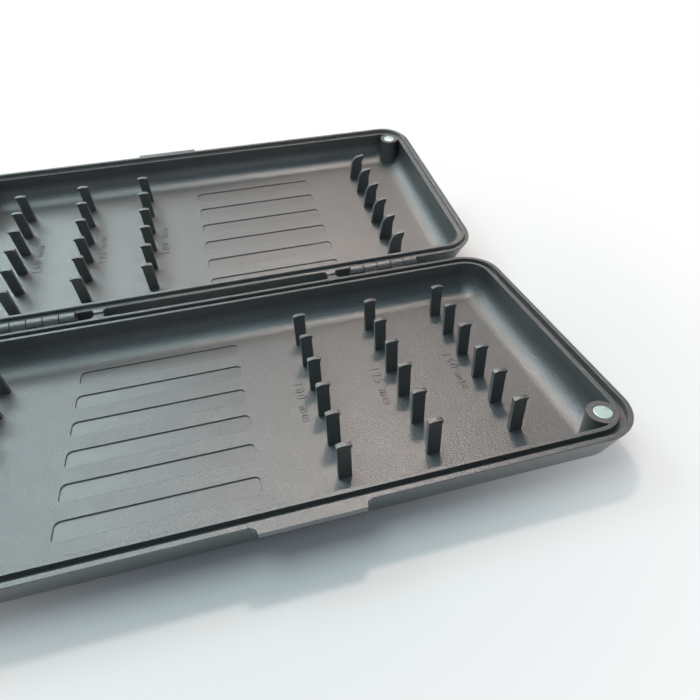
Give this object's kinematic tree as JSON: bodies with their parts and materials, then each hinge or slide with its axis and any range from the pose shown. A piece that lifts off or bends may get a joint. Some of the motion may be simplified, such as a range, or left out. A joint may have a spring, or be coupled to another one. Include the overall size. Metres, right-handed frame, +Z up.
{
  "type": "fishing rig box",
  "caption": "Slim hinged case with two shallow trays, rows of standing pins and hooks for tied rigs, label panels and corner magnets that hold it shut.",
  "frame": {"origin": "middle of the base's underside, which rests on the table", "axes": "+X along the hinge line, +Y from the base's front edge to its hinge side and on across the open lid, +Z up"},
  "size_m": [0.2016, 0.2022, 0.0343],
  "materials": {
    "case_plastic": "black ABS with a fine spark-eroded satin texture",
    "magnet_nickel": "nickel-plated disc magnet",
    "pin_steel": "drawn steel wire"
  },
  "bodies": {
    "base": {"base_shell": "case_plastic", "base_pins_100mm": "case_plastic", "base_pins_125mm": "case_plastic", "base_pins_150mm": "case_plastic", "base_hooks": "case_plastic", "base_magnet_left": "magnet_nickel", "base_magnet_right": "magnet_nickel", "hinge_pin_left": "pin_steel", "hinge_pin_right": "pin_steel"},
    "lid": {"lid_shell": "case_plastic", "lid_pins_100mm": "case_plastic", "lid_pins_125mm": "case_plastic", "lid_pins_150mm": "case_plastic", "lid_hooks": "case_plastic", "lid_magnet_left": "magnet_nickel", "lid_magnet_right": "magnet_nickel"}
  },
  "joints": [
    {"name": "lid_hinge", "type": "hinge", "parent": "base", "child": "lid", "pos_m": [0, 0.05105, 0.0136], "axis": [1, 0, 0], "range_deg": [0, 168.5]}
  ]
}
